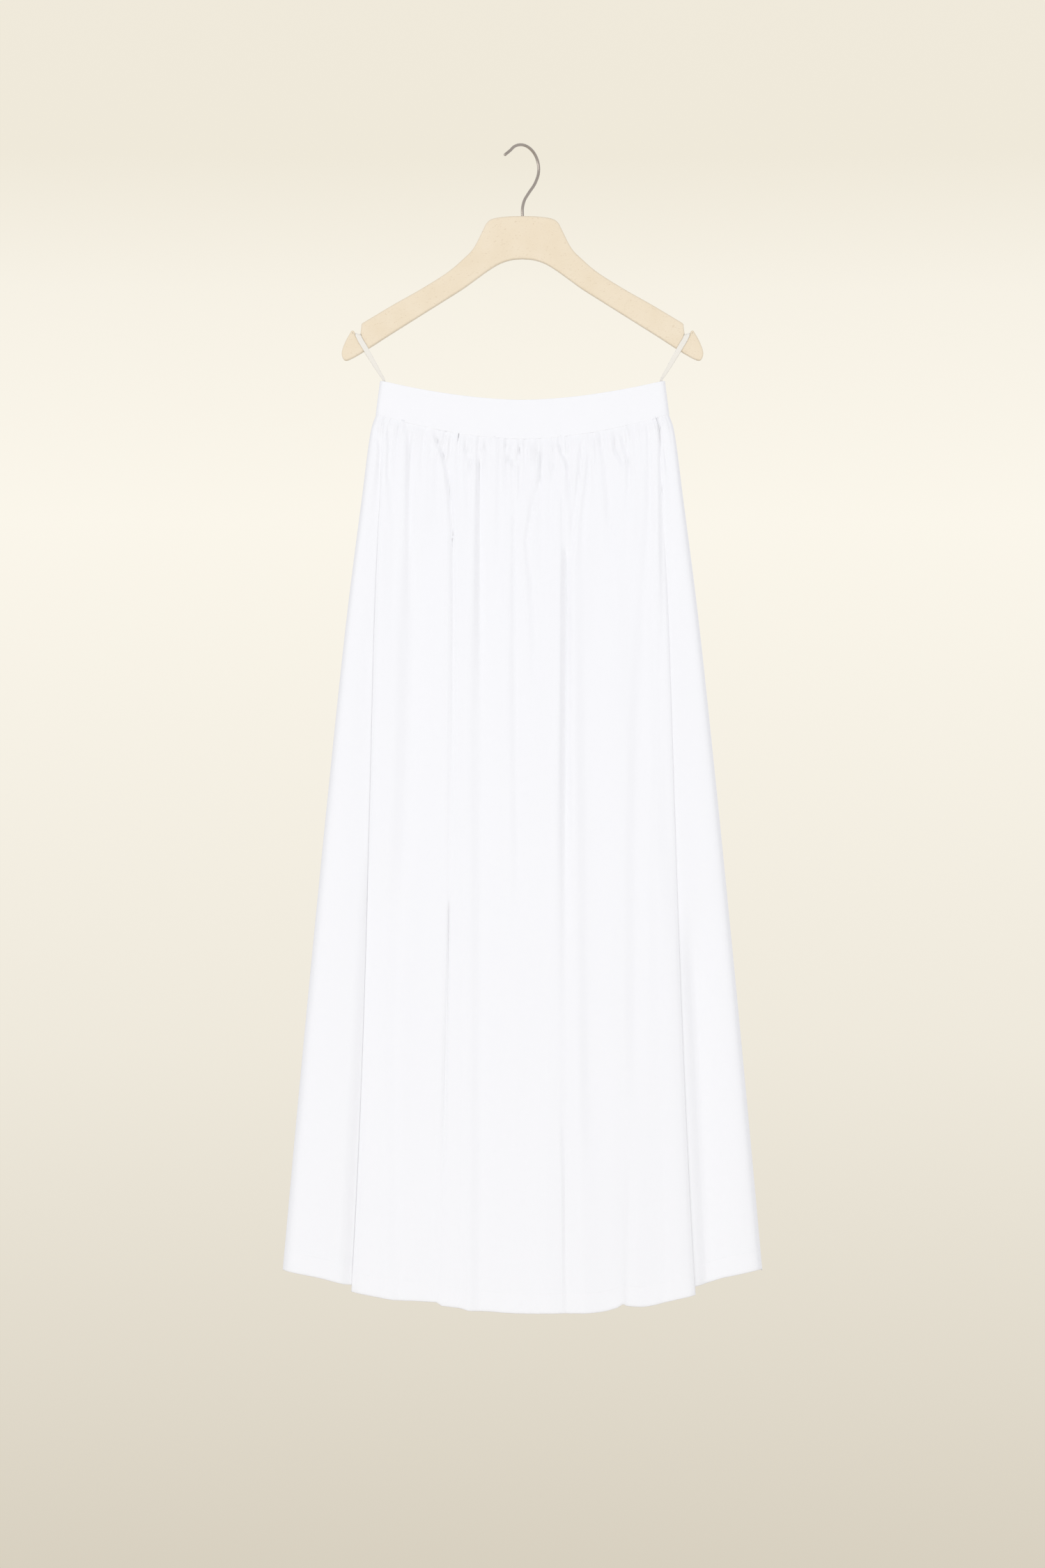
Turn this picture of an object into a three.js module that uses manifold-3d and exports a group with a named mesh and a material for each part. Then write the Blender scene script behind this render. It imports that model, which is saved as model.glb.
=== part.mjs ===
// A gathered cotton maxi skirt that hangs by two ribbon loops from a moulded hanger with a wire hook.
// Millimetres, +Z up, X to the viewer's right, the front of the skirt towards -Y.
// The origin is the underside of the hook's top, where a rail carries everything.
import * as THREE from "three";
import { mergeVertices } from "three/addons/utils/BufferGeometryUtils.js";
import Module from "manifold-3d";

const wasm = await Module();
wasm.setup();

// Driving dimensions
const seamGap = 0.33; // between pieces that are sewn or that touch
const clothWall = 1.2; // one layer of the skirt
const hemWall = 1.8; // where the cloth is turned up
const hemTurn = 20;
const gatherCount = 44; // on each panel
const samplesPerFold = 2;

const band = {
  wall: 2.4,
  topHalf: 165, // half of the laid-flat waist
  seamHalf: 170,
  halfDepth: 9, // the band hangs open by twice this
  topZ: -295.5, // at the middle, where it sags
  topRise: 22.5, // what the loops lift the corners by
  topBend: 1.75,
  seamZ: -341,
  seamRise: 29,
  seamBend: 1.8,
  elasticWaves: 28, // across the back half, where elastic draws the casing in
  elasticDepth: 0.9,
};
const skirt = {
  length: 996, // down the side seam
  seamDrop: 0.5, // below the band's lower edge
  hemZ: -1345, // at the middle
  hemRise: 40,
  hemBend: 2,
  hemLean: 3.4, // lower on the right than on the left
  hemHalfDepth: 28,
  sideRoundness: 8,
  settle: 1.9, // how soon the folds take their hem places on the way down
};
const hanger = { thick: 12, edge: 3.5, armLow: -219.5, stemHole: 24, holeRadius: 2.05 };
const notch = { inner: 188.2, outer: 193.6, mouthInner: 186.6, mouthOuter: 197, top: -200 };
const wire = { radius: 1.7, sides: 10, loop: 25.5, turn: 42, steps: 44 };
const ribbon = { wide: 4.4, narrow: 2.4, thick: 0.8 };

const colours = { cloth: 0xfbfbfd, ribbon: 0xf1eee6, hanger: 0xf0dfc6, steel: 0xb9b4ad };

// The side outline: half width of the skirt at each drop below the side end of the waist seam
const sideOutline = [
  { drop: 0, half: 170 },
  { drop: 12, half: 174.5 },
  { drop: 30, half: 177.8 },
  { drop: 85, half: 184 },
  { drop: 230, half: 202 },
  { drop: 425, half: 222.5 },
  { drop: 620, half: 242 },
  { drop: 815, half: 261 },
  { drop: 996, half: 278 },
];

// Folds from left to right. waist and hem are shares of the half width. out, high and low are
// millimetres in front of the body's own curve at the hem, and lift is how much higher the hem is
// there. At a lap the cloth runs back under its neighbour for a share called tuck: over 1 puts the
// right side on top, and over -1 the left. edge is the lift of the side on top.
const frontFolds = [
  { waist: -0.97, hem: -0.89, out: 11, lift: 4 },
  { waist: -0.935, hem: -0.725, high: 22, low: 6, tuck: 0.07, over: 1, lift: 6, edge: -1.5 },
  { waist: -0.8, hem: -0.62, out: 33, lift: -1.5 },
  { waist: -0.7, hem: -0.53, out: 29, lift: -1.5 },
  { waist: -0.6, hem: -0.44, out: 37, lift: 3.5 },
  { waist: -0.46, hem: -0.348, high: 42, low: 27, tuck: 0.06, over: 1, lift: 5.5, edge: 2.5 },
  { waist: -0.36, hem: -0.25, out: 49, lift: -1.5 },
  { waist: -0.27, hem: -0.17, out: 45, lift: -0.5 },
  { waist: -0.17, hem: -0.09, out: 52, lift: 0 },
  { waist: -0.07, hem: 0, out: 48, lift: 0 },
  { waist: 0.1, hem: 0.09, out: 52, lift: 1 },
  { waist: 0.27, hem: 0.18, high: 46, low: 33, tuck: 0.05, over: -1, lift: 0.5, edge: 1 },
  { waist: 0.45, hem: 0.29, out: 45, lift: 0.5 },
  { waist: 0.84, hem: 0.41, high: 36, low: 12, tuck: 0.12, over: -1, lift: 4, edge: 1.5 },
  { waist: 0.875, hem: 0.52, out: 27, lift: 0 },
  { waist: 0.895, hem: 0.63, out: 29, lift: 1 },
  { waist: 0.925, hem: 0.712, high: 20, low: 1, tuck: 0.08, over: -1, lift: 8.5, edge: 1.5 },
  { waist: 0.97, hem: 0.88, out: 10, lift: 6 },
];
const backFolds = [
  { waist: -0.96, hem: -0.86, out: 9, lift: 4 },
  { waist: -0.89, hem: -0.66, high: 20, low: 3, tuck: 0.08, over: 1, lift: 6, edge: 0 },
  { waist: -0.72, hem: -0.54, out: 31, lift: -1 },
  { waist: -0.6, hem: -0.45, out: 27, lift: 0 },
  { waist: -0.5, hem: -0.35, out: 35, lift: 2 },
  { waist: -0.36, hem: -0.22, high: 39, low: 24, tuck: 0.07, over: 1, lift: 4.5, edge: 1 },
  { waist: -0.24, hem: -0.1, out: 45, lift: -1 },
  { waist: -0.12, hem: -0.02, out: 40, lift: 0 },
  { waist: 0, hem: 0.06, out: 46, lift: 0 },
  { waist: 0.15, hem: 0.16, high: 42, low: 27, tuck: 0.07, over: -1, lift: 3, edge: 0.5 },
  { waist: 0.3, hem: 0.27, out: 38, lift: 0 },
  { waist: 0.42, hem: 0.36, out: 30, lift: 1 },
  { waist: 0.53, hem: 0.46, out: 34, lift: 0 },
  { waist: 0.68, hem: 0.58, high: 26, low: 8, tuck: 0.09, over: -1, lift: 6, edge: 1 },
  { waist: 0.84, hem: 0.73, out: 16, lift: 4 },
  { waist: 0.96, hem: 0.88, out: 9, lift: 2 },
];

// Rows of the skirt wall, as drops down the side seam
const gatherRows = [0, 8, 24, 50];
const foldRows = [90, 160, 260, 400, 580, 780];

// The hanger's outline from the top middle round the arm's end to the inside of the arch
const hangerOutline = [
  { x: 0, z: -81.6 },
  { x: 18, z: -82.2 },
  { x: 34, z: -84.6 },
  { x: 41.5, z: -89.5 },
  { x: 46.5, z: -99 },
  { x: 57, z: -119 },
  { x: 69.5, z: -132 },
  { x: 88, z: -147.5 },
  { x: 119, z: -167 },
  { x: 150, z: -184.5 },
  { x: 186, z: -206 },
  { x: 197, z: -214 },
  { x: 206, z: -228 },
  { x: 210, z: -240.5 },
  { x: 207, z: -248.5 },
  { x: 199, z: -247 },
  { x: 181, z: -236.5 },
  { x: 150, z: -216.5 },
  { x: 110, z: -191.5 },
  { x: 69.5, z: -166 },
  { x: 42, z: -146 },
  { x: 24, z: -135.8 },
  { x: 0, z: -130.3 },
];

const lerp = THREE.MathUtils.lerp;
const rise = (share, top, lift, bend) => top + lift * Math.abs(share) ** bend;

// The same scatter every time, from 0 to 1
function scatter(n) {
  const s = Math.sin(n * 12.9898 + 78.233) * 43758.5453;
  return s - Math.floor(s);
}

// Half width at a drop, as a smooth curve through the outline's rows
function halfWidth(drop) {
  const last = sideOutline.length - 1;
  const slope = (i) => {
    const a = sideOutline[Math.max(i - 1, 0)];
    const b = sideOutline[Math.min(i + 1, last)];
    return (b.half - a.half) / (b.drop - a.drop);
  };
  const i = Math.min(sideOutline.findLastIndex((row) => row.drop <= drop), last - 1);
  const [a, b] = [sideOutline[i], sideOutline[i + 1]];
  const span = b.drop - a.drop;
  const s = (drop - a.drop) / span;
  const ease = s * s * (3 - 2 * s);
  const start = s * (1 - s) ** 2 * span * slope(i);
  const end = s * s * (s - 1) * span * slope(i + 1);
  return lerp(a.half, b.half, ease) + start + end;
}

// The points that a row of folds runs through, from side seam to side seam
function foldPoints(folds) {
  const points = [{ hem: -1, out: 0, waist: -1, lift: 0 }, { hem: -0.98, out: 0, waist: -0.99, lift: 0 }];
  for (const fold of folds) {
    if (!fold.over) {
      points.push(fold);
      continue;
    }
    const middle = (fold.high + fold.low) / 2;
    const lap = [
      { along: -0.035, out: fold.low + 3, aside: -0.018, lift: fold.lift },
      { along: fold.tuck, out: fold.low, aside: -0.009, lift: fold.lift },
      { along: fold.tuck / 2, out: middle, aside: 0, lift: (fold.lift + fold.edge) / 2 },
      { along: 0, out: fold.high - 4, aside: 0.009, lift: fold.edge },
      { along: 0.035, out: fold.high + 4, aside: 0.018, lift: fold.edge },
    ];
    if (fold.over < 0) lap.reverse();
    for (const { along, out, aside, lift } of lap) {
      points.push({ hem: fold.hem + fold.over * along, out, waist: fold.waist + fold.over * aside, lift });
    }
  }
  return [...points, { hem: 0.98, out: 0, waist: 0.99, lift: 0 }, { hem: 1, out: 0, waist: 1, lift: 0 }];
}

const smoothCurve = (points) => new THREE.CatmullRomCurve3(points, false, "catmullrom", 0.5);

// How deep the gathers draw the cloth in, at a waist share and a drop below the seam
function gatherDepth(waistShare, drop, seed) {
  const phase = ((waistShare + 1) / 2) * gatherCount;
  const width = 0.2 + drop / 280;
  let depth = 0;
  for (let i = Math.floor(phase) - 1; i <= Math.floor(phase) + 1; i++) {
    if (i < 0 || i >= gatherCount) continue;
    const length = 60 + 220 * scatter(i + seed) ** 2;
    const lean = ((scatter(i + seed + 50) - 0.5) * drop) / 90;
    const strength = (2 + 2.6 * scatter(i + seed + 100)) * Math.min(1, 0.65 + drop / 30);
    const fade = Math.max(0, 1 - drop / length);
    depth += strength * fade * Math.exp(-(((phase - i - 0.5 - lean) / width) ** 2));
  }
  return depth;
}

// The body's own curve: how far the cloth stands from the middle plane at a share of the half width
function bodyCurve(share, halfDepth) {
  return halfDepth * Math.sqrt(Math.max(0, 1 - Math.abs(share) ** skirt.sideRoundness));
}

// The middle of the skirt's wall; facing is -1 for the front and 1 for the back
function panelPoint(panel, t, drop) {
  const at = panel.curve.getPoint(t);
  const v = drop / skirt.length;
  const settled = 1 - (1 - v) ** skirt.settle;
  const share = THREE.MathUtils.clamp(lerp(at.z, at.x, settled), -1, 1);
  const halfDepth = lerp(band.halfDepth, skirt.hemHalfDepth, settled);
  const fromSide = Math.min(1, (1 - Math.abs(share)) * 12); // no gather or fold at the side seam itself
  const folds = settled * at.y - gatherDepth(at.z, drop, panel.seed) * fromSide;
  const out = bodyCurve(share, halfDepth) + folds + seamGap / 2;
  const seam = rise(at.z, band.seamZ, band.seamRise, band.seamBend) - skirt.seamDrop;
  const sag = skirt.hemLean * Math.sin(Math.PI * at.x) - panel.lift.getPoint(t).x;
  const hem = rise(at.x, skirt.hemZ, skirt.hemRise, skirt.hemBend) - sag;
  return new THREE.Vector3(share * halfWidth(drop), panel.facing * out, lerp(seam, hem, v));
}

// One row of a wall: its middle points moved out and in, mitred where it turns
function wallRow(middle, columns, facing, wall) {
  const last = middle.length - 1;
  const across = (a, b) => new THREE.Vector2((b.y - a.y) * -facing, (b.x - a.x) * facing).normalize();
  const row = { columns, outer: [], inner: [] };
  middle.forEach((p, j) => {
    let normal = new THREE.Vector2(Math.sign(p.x), 0);
    let mitre = 1;
    if (j > 0 && j < last) {
      const before = across(middle[j - 1], p);
      normal = before.clone().add(across(p, middle[j + 1])).normalize();
      mitre = Math.min(1.4, 1 / Math.max(0.2, normal.dot(before)));
    }
    const step = normal.multiplyScalar((mitre * wall) / 2);
    row.outer.push(new THREE.Vector3(p.x + step.x, p.y + step.y, p.z));
    row.inner.push(new THREE.Vector3(p.x - step.x, p.y - step.y, p.z));
  });
  return row;
}

// A closed wall from rows that run top to bottom; neighbouring rows may have different columns
function closeWall(rows, facing) {
  const positions = [];
  const index = [];
  for (const row of rows) {
    row.first = positions.length / 3;
    row.outer.forEach((p, j) => positions.push(...p.toArray(), ...row.inner[j].toArray()));
    row.last = row.outer.length - 1;
  }
  const outer = (row, j) => row.first + 2 * j;
  const inner = (row, j) => row.first + 2 * j + 1;
  const face = (a, b, c) => (facing < 0 ? index.push(a, b, c) : index.push(a, c, b));
  const quad = (a, b, c, d) => {
    face(a, b, c);
    face(a, c, d);
  };
  for (let r = 0; r < rows.length - 1; r++) {
    const [a, b] = [rows[r], rows[r + 1]];
    let [i, j] = [0, 0];
    while (i < a.last || j < b.last) {
      if (j === b.last || (i < a.last && a.columns[i + 1] <= b.columns[j + 1])) {
        face(outer(a, i), outer(b, j), outer(a, i + 1));
        face(inner(a, i), inner(a, i + 1), inner(b, j));
        i += 1;
      } else {
        face(outer(a, i), outer(b, j), outer(b, j + 1));
        face(inner(a, i), inner(b, j + 1), inner(b, j));
        j += 1;
      }
    }
    quad(outer(b, 0), outer(a, 0), inner(a, 0), inner(b, 0));
    quad(outer(a, a.last), outer(b, b.last), inner(b, b.last), inner(a, a.last));
  }
  const [top, foot] = [rows[0], rows[rows.length - 1]];
  for (let j = 0; j < top.last; j++) quad(outer(top, j), outer(top, j + 1), inner(top, j + 1), inner(top, j));
  for (let j = 0; j < foot.last; j++) quad(outer(foot, j + 1), outer(foot, j), inner(foot, j), inner(foot, j + 1));
  const geometry = new THREE.BufferGeometry();
  geometry.setAttribute("position", new THREE.Float32BufferAttribute(positions, 3));
  geometry.setIndex(index);
  geometry.computeVertexNormals();
  return geometry;
}

// Where on the fold curve a gather's phase lies
function findPhase(curve, phase) {
  const target = (2 * phase) / gatherCount - 1;
  let [low, high] = [0, 1];
  for (let n = 0; n < 40; n++) {
    const t = (low + high) / 2;
    if (curve.getPoint(t).z < target) low = t;
    else high = t;
  }
  return (low + high) / 2;
}

// A gathered panel: three columns to a gather near the waist, then two to each point of the folds
function skirtPanel(folds, facing, seed) {
  const points = foldPoints(folds);
  const panel = {
    curve: smoothCurve(points.map((p) => new THREE.Vector3(p.hem, p.out, p.waist))),
    lift: smoothCurve(points.map((p) => new THREE.Vector3(p.lift, 0, 0))),
    facing,
    seed,
  };
  const gathered = [0];
  for (let i = 0; i < gatherCount; i++) {
    for (const part of [0.15, 0.5, 0.85]) gathered.push(findPhase(panel.curve, i + part));
  }
  gathered.push(1);
  const count = (panel.curve.points.length - 1) * samplesPerFold;
  const folded = Array.from({ length: count + 1 }, (_, i) => i / count);
  const row = (columns, drop, wall) => {
    const middle = columns.map((t) => panelPoint(panel, t, drop));
    return wallRow(middle, columns, facing, wall);
  };
  return closeWall(
    [
      ...gatherRows.map((drop) => row(gathered, drop, clothWall)),
      ...foldRows.map((drop) => row(folded, drop, clothWall)),
      row(folded, skirt.length - hemTurn - 1, clothWall),
      row(folded, skirt.length - hemTurn, hemWall),
      row(folded, skirt.length, hemWall),
    ],
    facing,
  );
}

// Half of the waistband, sagging between the two loops, with any waves that elastic gives it
function waistband(facing, waves) {
  const steps = waves > 0 ? waves * 4 : 36;
  const columns = Array.from({ length: steps + 1 }, (_, i) => {
    const even = (2 * i) / steps - 1;
    return lerp(Math.sin((even * Math.PI) / 2), even, waves > 0 ? 0.8 : 0);
  });
  const rows = [0, 0.5, 1].map((down) => {
    const half = lerp(band.topHalf, band.seamHalf, down);
    const middle = columns.map((share) => {
      const top = rise(share, band.topZ, band.topRise, band.topBend);
      const seam = rise(share, band.seamZ, band.seamRise, band.seamBend);
      const wave = band.elasticDepth * Math.sin(Math.PI * waves * share) * (1 - share ** 4);
      const out = bodyCurve(share, band.halfDepth) + wave + seamGap / 2;
      return new THREE.Vector3(share * half, facing * out, lerp(top, seam, down));
    });
    return wallRow(middle, columns, facing, band.wall);
  });
  return closeWall(rows, facing);
}

// A closed tube through rings of the same number of points, with flat ends
function loft(rings) {
  const sides = rings[0].length;
  const positions = rings.flat().flatMap((p) => p.toArray());
  const index = [];
  for (let r = 0; r < rings.length - 1; r++) {
    for (let k = 0; k < sides; k++) {
      const next = (k + 1) % sides;
      const [a, b, c, d] = [r * sides + k, r * sides + next, (r + 1) * sides + next, (r + 1) * sides + k];
      index.push(a, b, c, a, c, d);
    }
  }
  const end = (rings.length - 1) * sides;
  for (let k = 1; k < sides - 1; k++) index.push(0, k + 1, k, end, end + k, end + k + 1);
  const geometry = new THREE.BufferGeometry();
  geometry.setAttribute("position", new THREE.Float32BufferAttribute(positions, 3));
  geometry.setIndex(index);
  geometry.computeVertexNormals();
  return geometry;
}

// One hanging loop: up from inside the band, over the notch and down again behind the arm
function hangingLoop(side) {
  const clear = seamGap + ribbon.thick / 2 + 0.1;
  const face = hanger.thick / 2 + clear;
  const over = hanger.armLow + clear;
  const front = [
    { x: 160.8, y: 0.75, z: -292, wide: ribbon.narrow },
    { x: 161, y: 0.75, z: -273, wide: ribbon.narrow },
    { x: 165.5, y: 2.2, z: -264.5, wide: ribbon.narrow },
    { x: 172, y: 4.6, z: -253.5, wide: 3.4 },
    { x: 178.5, y: face, z: -242.5, wide: ribbon.wide },
    { x: 183, y: face, z: -234.5, wide: ribbon.wide },
    { x: 187.9, y: face, z: -226.5, wide: ribbon.wide },
    { x: 190.9, y: face, z: -220.2, wide: ribbon.wide },
    { x: 190.9, y: face - 0.3, z: over - 0.25, wide: ribbon.wide },
    { x: 190.9, y: face - 1.1, z: over, wide: ribbon.wide },
  ];
  const place = (p, depth) => ({ at: new THREE.Vector3(side * p.x, depth * p.y, p.z), wide: p.wide });
  const path = [
    ...front.map((p) => place(p, -1)),
    ...front.toReversed().map((p) => place(p, 1)),
  ];
  const rings = path.map((p, i) => {
    const before = path[Math.max(i - 1, 0)].at;
    const after = path[Math.min(i + 1, path.length - 1)].at;
    const along = after.clone().sub(before).normalize();
    const across = new THREE.Vector3(1, 0, 0).addScaledVector(along, -along.x).normalize();
    const out = new THREE.Vector3().crossVectors(across, along);
    const corner = (w, h) =>
      p.at
        .clone()
        .addScaledVector(across, (w * p.wide) / 2)
        .addScaledVector(out, (h * ribbon.thick) / 2);
    return [corner(-1, -1), corner(-1, 1), corner(1, 1), corner(1, -1)];
  });
  return loft(rings);
}

function toSolid(geometry) {
  const bare = geometry.clone();
  bare.deleteAttribute("normal");
  bare.deleteAttribute("uv");
  const merged = mergeVertices(bare, 1e-3);
  return new wasm.Manifold(
    new wasm.Mesh({
      numProp: 3,
      vertProperties: new Float32Array(merged.attributes.position.array),
      triVerts: new Uint32Array(merged.index.array),
    }),
  );
}

function toGeometry(solid) {
  const made = solid.getMesh();
  const geometry = new THREE.BufferGeometry();
  geometry.setAttribute("position", new THREE.BufferAttribute(made.vertProperties, made.numProp));
  geometry.setIndex(new THREE.BufferAttribute(made.triVerts, 1));
  geometry.computeVertexNormals();
  return geometry;
}

// A flat outline in X and Z, given thickness about the middle plane
function plate(points, thick, edge) {
  const shape = new THREE.Shape(points);
  const bevel = edge > 0;
  const geometry = new THREE.ExtrudeGeometry(shape, {
    depth: thick - 2 * edge,
    steps: 1,
    bevelEnabled: bevel,
    bevelThickness: edge,
    bevelSize: edge,
    bevelOffset: -edge,
    bevelSegments: 2,
  });
  geometry.translate(0, 0, edge - thick / 2);
  geometry.rotateX(Math.PI / 2);
  return geometry;
}

// The hanger: the outline and its mirror image, less a notch in each arm and the stem's hole
function hangerBody() {
  const half = new THREE.SplineCurve(hangerOutline.map((p) => new THREE.Vector2(p.x, p.z)));
  const right = half.getPoints((hangerOutline.length - 1) * 2);
  const left = right.slice(1, -1).reverse();
  const outline = [...right, ...left.map((p) => new THREE.Vector2(-p.x, p.y))].reverse();
  let body = toSolid(plate(outline, hanger.thick, hanger.edge));
  for (const side of [-1, 1]) {
    const corners = [
      new THREE.Vector2(side * notch.inner, hanger.armLow),
      new THREE.Vector2(side * notch.outer, hanger.armLow),
      new THREE.Vector2(side * notch.mouthOuter, notch.top),
      new THREE.Vector2(side * notch.mouthInner, notch.top),
    ];
    if (side < 0) corners.reverse();
    body = body.subtract(toSolid(plate(corners, 2 * hanger.thick, 0)));
  }
  const hole = new THREE.CylinderGeometry(hanger.holeRadius, hanger.holeRadius, 2 * hanger.stemHole, 16);
  hole.rotateX(Math.PI / 2);
  hole.translate(0, 0, hangerOutline[0].z);
  return toGeometry(body.subtract(toSolid(hole)));
}

// The hook's middle line in its own plane: a loop over the rail, then back in to the stem
function hookLine() {
  const radius = wire.loop;
  const centre = wire.radius - radius;
  const line = [new THREE.Vector2(-radius - 1.6, centre + 7.5)];
  for (let degrees = 155; degrees >= -30; degrees -= 18.5) {
    const angle = THREE.MathUtils.degToRad(degrees);
    line.push(new THREE.Vector2(radius * Math.cos(angle), centre + radius * Math.sin(angle)));
  }
  const top = hangerOutline[0].z;
  line.push(
    new THREE.Vector2(15.5, -45.5),
    new THREE.Vector2(8.2, -55),
    new THREE.Vector2(2.2, -63.5),
    new THREE.Vector2(0, -71),
    new THREE.Vector2(0, top),
    new THREE.Vector2(0, top - hanger.stemHole + 1),
  );
  return line;
}

function hook() {
  const turn = THREE.MathUtils.degToRad(wire.turn);
  const line = hookLine().map((p) => new THREE.Vector3(p.x * Math.cos(turn), p.x * Math.sin(turn), p.y));
  const section = new THREE.Shape().absarc(0, 0, wire.radius, 0, 2 * Math.PI);
  return new THREE.ExtrudeGeometry(section, {
    steps: wire.steps,
    curveSegments: wire.sides / 2,
    bevelEnabled: false,
    extrudePath: new THREE.CatmullRomCurve3(line, false, "centripetal"),
  });
}

const cloth = { color: colours.cloth, roughness: 0.85, metalness: 0 };
const pieces = [
  { name: "skirt_front", geometry: skirtPanel(frontFolds, -1, 0), look: cloth },
  { name: "skirt_back", geometry: skirtPanel(backFolds, 1, 300), look: cloth },
  { name: "waistband_front", geometry: waistband(-1, 0), look: cloth },
  { name: "waistband_back", geometry: waistband(1, band.elasticWaves), look: cloth },
  { name: "loop_left", geometry: hangingLoop(-1), look: { color: colours.ribbon, roughness: 0.5 } },
  { name: "loop_right", geometry: hangingLoop(1), look: { color: colours.ribbon, roughness: 0.5 } },
  { name: "hanger_body", geometry: hangerBody(), look: { color: colours.hanger, roughness: 0.55 } },
  { name: "hanger_hook", geometry: hook(), look: { color: colours.steel, roughness: 0.25, metalness: 1 } },
];

const garment = new THREE.Group();
for (const piece of pieces) {
  const mesh = new THREE.Mesh(piece.geometry, new THREE.MeshStandardMaterial(piece.look));
  mesh.name = piece.name;
  garment.add(mesh);
}

export default garment;
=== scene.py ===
import math

import bmesh
import bpy
import numpy as np
from mathutils import Matrix, Vector


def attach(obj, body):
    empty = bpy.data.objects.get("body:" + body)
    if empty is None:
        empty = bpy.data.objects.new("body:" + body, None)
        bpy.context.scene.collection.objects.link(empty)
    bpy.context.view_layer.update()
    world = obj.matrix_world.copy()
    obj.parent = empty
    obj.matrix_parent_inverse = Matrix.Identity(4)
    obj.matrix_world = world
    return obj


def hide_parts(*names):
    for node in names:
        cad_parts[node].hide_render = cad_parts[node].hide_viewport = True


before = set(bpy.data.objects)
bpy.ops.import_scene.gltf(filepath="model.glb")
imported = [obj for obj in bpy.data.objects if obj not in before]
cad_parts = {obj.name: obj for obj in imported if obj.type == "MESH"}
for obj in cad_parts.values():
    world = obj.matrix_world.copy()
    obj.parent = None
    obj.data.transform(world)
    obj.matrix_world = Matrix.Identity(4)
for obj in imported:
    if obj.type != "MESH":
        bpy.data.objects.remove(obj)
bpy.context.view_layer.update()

mm = 0.001
root = "root"


# shader nodes from plain Python arithmetic

class Wire:
    def __init__(self, nodes, socket):
        self.nodes = nodes
        self.socket = socket

    def math(self, operation, first, second=0.0):
        return self.nodes.add("ShaderNodeMath", {"operation": operation}, [first, second])

    def __add__(self, other):
        return self.math("ADD", self, other)

    def __radd__(self, other):
        return self.math("ADD", other, self)

    def __sub__(self, other):
        return self.math("SUBTRACT", self, other)

    def __rsub__(self, other):
        return self.math("SUBTRACT", other, self)

    def __mul__(self, other):
        return self.math("MULTIPLY", self, other)

    def __rmul__(self, other):
        return self.math("MULTIPLY", other, self)

    def __abs__(self):
        return self.math("ABSOLUTE", self)

    def sine(self):
        return self.math("SINE", self)

    def above(self, edge):
        return self.math("GREATER_THAN", self, edge)


class Nodes:
    def __init__(self, tree):
        self.tree = tree

    def add(self, kind, settings=None, sockets=(), output=0):
        node = self.tree.nodes.new(kind)
        for key, value in (settings or {}).items():
            if key == "stops":
                self.setStops(node.color_ramp.elements, value)
            else:
                setattr(node, key, value)
        pairs = sockets.items() if isinstance(sockets, dict) else enumerate(sockets)
        for key, value in pairs:
            if isinstance(value, Wire):
                self.tree.links.new(value.socket, node.inputs[key])
            else:
                node.inputs[key].default_value = value
        return Wire(self, node.outputs[output])

    def setStops(self, elements, stops):
        for place, tone in stops[1:-1]:
            elements.new(place)
        for element, (place, tone) in zip(elements, stops):
            element.position = place
            element.color = (*tone, 1)

    def axes(self, place):
        first = self.add("ShaderNodeSeparateXYZ", None, [place])
        return [Wire(self, socket) for socket in first.socket.node.outputs]


class Look(Nodes):
    def __init__(self, name, shader):
        self.material = bpy.data.materials.new(name)
        self.material.use_nodes = True
        super().__init__(self.material.node_tree)
        self.shader = self.tree.nodes["Principled BSDF"]
        for socket, value in shader.items():
            self.shader.inputs[socket].default_value = value

    def feed(self, socket, wire):
        self.tree.links.new(wire.socket, self.shader.inputs[socket])

    def objectPlace(self, scale=(1, 1, 1)):
        place = self.add("ShaderNodeTexCoord", output="Object")
        return self.add("ShaderNodeMapping", None, {"Vector": place, "Scale": scale})

    def clothPlace(self, scale=(1, 1, 1)):
        place = self.add("ShaderNodeUVMap", {"uv_map": "cut"})
        return self.add("ShaderNodeMapping", None, {"Vector": place, "Scale": scale})

    def noise(self, place, scale, detail=2.0):
        sockets = {"Vector": place, "Scale": scale, "Detail": detail}
        return self.add("ShaderNodeTexNoise", None, sockets, "Fac")

    def mix(self, amount, first, second):
        # inputs 6 and 7 and output 2 are the ones for colours
        return self.add("ShaderNodeMix", {"data_type": "RGBA"}, {0: amount, 6: first, 7: second}, 2)

    def bump(self, height, distance, strength=1.0):
        sockets = {"Height": height, "Distance": distance, "Strength": strength}
        self.feed("Normal", self.add("ShaderNodeBump", None, sockets))


cottonLook = {
    "base": (0.915, 0.916, 0.932, 1),
    "doubled": (0.919, 0.92, 0.935, 1),
    "shade": (0.86, 0.86, 0.875, 1),
    "shader": {"Sheen Weight": 0.12, "Sheen Roughness": 0.5, "Specular IOR Level": 0.25},
    "threadPitch": 0.42 * mm,
    "threadHeight": 0.05 * mm,
}


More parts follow.
